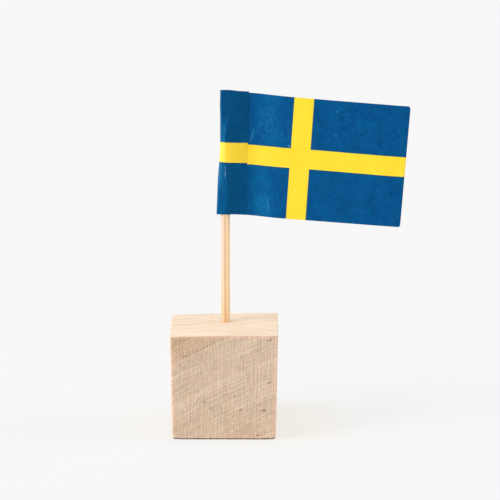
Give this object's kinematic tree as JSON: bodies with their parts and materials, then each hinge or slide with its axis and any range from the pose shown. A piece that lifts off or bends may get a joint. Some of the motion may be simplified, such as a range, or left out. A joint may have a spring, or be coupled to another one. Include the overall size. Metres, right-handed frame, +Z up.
{
  "type": "flag toothpick",
  "caption": "Paper flag with a yellow cross on blue, folded and glued round a wooden pick that stands in a small drilled wooden block.",
  "frame": {"origin": "middle of the block's underside, on the table", "axes": "+Z up along the pick, +X the way the flag flies, -Y the front, where the hem is glued"},
  "size_m": [0.0555, 0.025, 0.0796],
  "materials": {
    "block_wood": "sawn and lightly sanded, unvarnished",
    "pick_wood": "turned, smooth, unvarnished",
    "printed_paper": "coated print, slightly satin, blue with a yellow cross"
  },
  "bodies": {
    "root": {"wooden_block": "block_wood", "toothpick": "pick_wood", "paper_flag": "printed_paper"}
  },
  "joints": []
}
